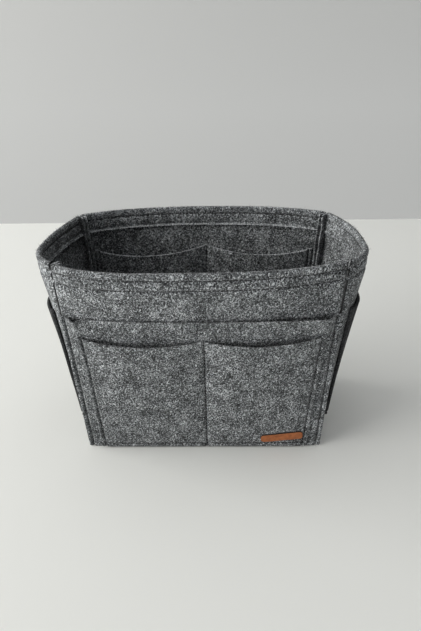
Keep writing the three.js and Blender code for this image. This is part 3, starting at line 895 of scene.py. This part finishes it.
one_fibre = bmesh.new()
bmesh.ops.create_cone(one_fibre, cap_ends=True, segments=3, radius1=FIBRE_ENDS[0],
                      radius2=FIBRE_ENDS[1], depth=1)
fibre_data = bpy.data.meshes.new("fibre")
one_fibre.to_mesh(fibre_data)
one_fibre.free()
chance = random.Random(5)
for word, side in (("front", FRONT), ("back", BACK), ("left_end", LEFT), ("right_end", RIGHT)):
    mesh = bmesh.new()
    for number in range(int(FIBRES_PER_METRE * 2 * side.half[1])):
        turn = chance.uniform(*FOLD_SHARE) * math.pi
        z = FOLD_FOOT + FOLD_RADIUS * math.sin(turn)
        depth = FOLD_RADIUS - FOLD_RADIUS * math.cos(turn)
        end_cut = HEM_END_CUT * (1 - math.cos(turn)) / 2
        half = at_height(side.half, HEIGHT) - depth - end_cut - SEAM_NOTCH
        root = on_side(side, chance.uniform(-half, half), z, depth)
        out = side.turn @ Vector((0, -math.cos(turn), math.sin(turn)))
        stray = Vector([chance.gauss(0, spread) for spread in FIBRE_STRAY])
        length = FIBRE_LENGTH[0] + FIBRE_LENGTH[1] * chance.random() ** 2
        lay = (out + stray).normalized().to_track_quat("Z", "Y").to_matrix().to_4x4()
        lay.translation = root + lay.to_3x3() @ Vector((0, 0, length * FIBRE_PROUD))
        set_down(mesh, fibre_data, lay @ Matrix.Diagonal((1, 1, length, 1)))
    fibres = piece_of(word + "_rim_fibres", mesh, (loose_felt,))
    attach(fibres, "shell")
bpy.data.meshes.remove(fibre_data)

# The floor and the wall behind: a pale matt table top that ends a little way behind the insert, and
# a plain grey wall well behind it.
TABLE_HALF = (2.0, 1.03)
TABLE_MIDDLE = -0.47
TABLE_COLOUR = (0.80, 0.805, 0.775, 1)
WALL_HALF = (4.0, 2.0)
WALL_MIDDLE = 1.0
WALL_PLACE = 1.7
WALL_COLOUR = (0.35, 0.35, 0.34, 1)


def surround(name, finish, colour, roughness, place):
    """A plain flat sheet of the surroundings. place() takes each corner of a flat square."""
    mesh = bmesh.new()
    bmesh.ops.create_grid(mesh, x_segments=1, y_segments=1, size=1.0)
    for vert in mesh.verts:
        vert.co = place(vert.co.x, vert.co.y)
    material, tree, shader = new_finish(finish)
    shader.inputs["Base Color"].default_value = colour
    shader.inputs["Roughness"].default_value = roughness
    data = bpy.data.meshes.new(name)
    mesh.to_mesh(data)
    mesh.free()
    data.materials.append(material)
    sheet = bpy.data.objects.new(name, data)
    bpy.context.scene.collection.objects.link(sheet)
    return sheet


floor = surround("floor", "pale_top", TABLE_COLOUR, roughness=0.9, place=lambda x, y: Vector(
    (x * TABLE_HALF[0], y * TABLE_HALF[1] + TABLE_MIDDLE, 0)))
backdrop = surround("backdrop", "pale_wall", WALL_COLOUR, roughness=1.0, place=lambda x, y: Vector(
    (x * WALL_HALF[0], WALL_PLACE, y * WALL_HALF[1] + WALL_MIDDLE)))

# Daylight: a wide window on the left, the soft light of a pale room, which comes more from its left
# and front walls, and a little from the ceiling.
WINDOW_PLACE = Vector((-2.4, -0.35, 1.05))
WINDOW_AIM = Vector((0, 0, 0.1))
WINDOW_SIZE = (3.0, 1.6)
ROOM_SLOPE = (-3.3, -2.1, 0)  # how fast the walls get lighter to the left and to the front
ROOM_LEAST = 0.12
ROOM_TONES = (0.0, 0.38)
ROOM_COLOURS = ((0.97, 0.985, 1.0, 1), (0, 0, 0, 1))
CEILING_TONES = (0.55, 0.9)
CEILING_COLOURS = ((0, 0, 0, 1), (0.98, 0.99, 1.0, 1))
CEILING_LEVEL = 0.85

window_data = bpy.data.lights.new("window", "AREA")
window_data.shape = "RECTANGLE"
window_data.size, window_data.size_y = WINDOW_SIZE
window_data.energy = 84
window_data.color = (1.0, 0.99, 0.96)
window = bpy.data.objects.new("window", window_data)
bpy.context.scene.collection.objects.link(window)
window.location = WINDOW_PLACE
window.rotation_euler = (WINDOW_AIM - WINDOW_PLACE).to_track_quat("-Z", "Y").to_euler()

room = bpy.data.worlds.new("room")
bpy.context.scene.world = room
room.use_nodes = True
tree = room.node_tree
walls = tree.nodes["Background"]
where = add_node(tree, "TexCoord").outputs["Generated"]
upwards = add_node(tree, "SeparateXYZ", {"Vector": where}).outputs["Z"]
tree.links.new(shaded(tree, upwards, ROOM_TONES, ROOM_COLOURS), walls.inputs["Color"])
towards_window = add_node(tree, "VectorMath", {0: where, 1: ROOM_SLOPE},
                          operation="DOT_PRODUCT").outputs["Value"]
wall_level = add_node(tree, "Math", {0: towards_window, 1: ROOM_LEAST},
                      operation="MAXIMUM").outputs["Value"]
tree.links.new(wall_level, walls.inputs["Strength"])
from_ceiling = shaded(tree, upwards, CEILING_TONES, CEILING_COLOURS)
ceiling = add_node(tree, "Background", {"Color": from_ceiling, "Strength": CEILING_LEVEL})
both = add_node(tree, "AddShader", {0: walls.outputs["Background"],
                                    1: ceiling.outputs["Background"]})
tree.links.new(both.outputs["Shader"], tree.nodes["World Output"].inputs["Surface"])

bpy.context.scene.view_settings.view_transform = "Standard"
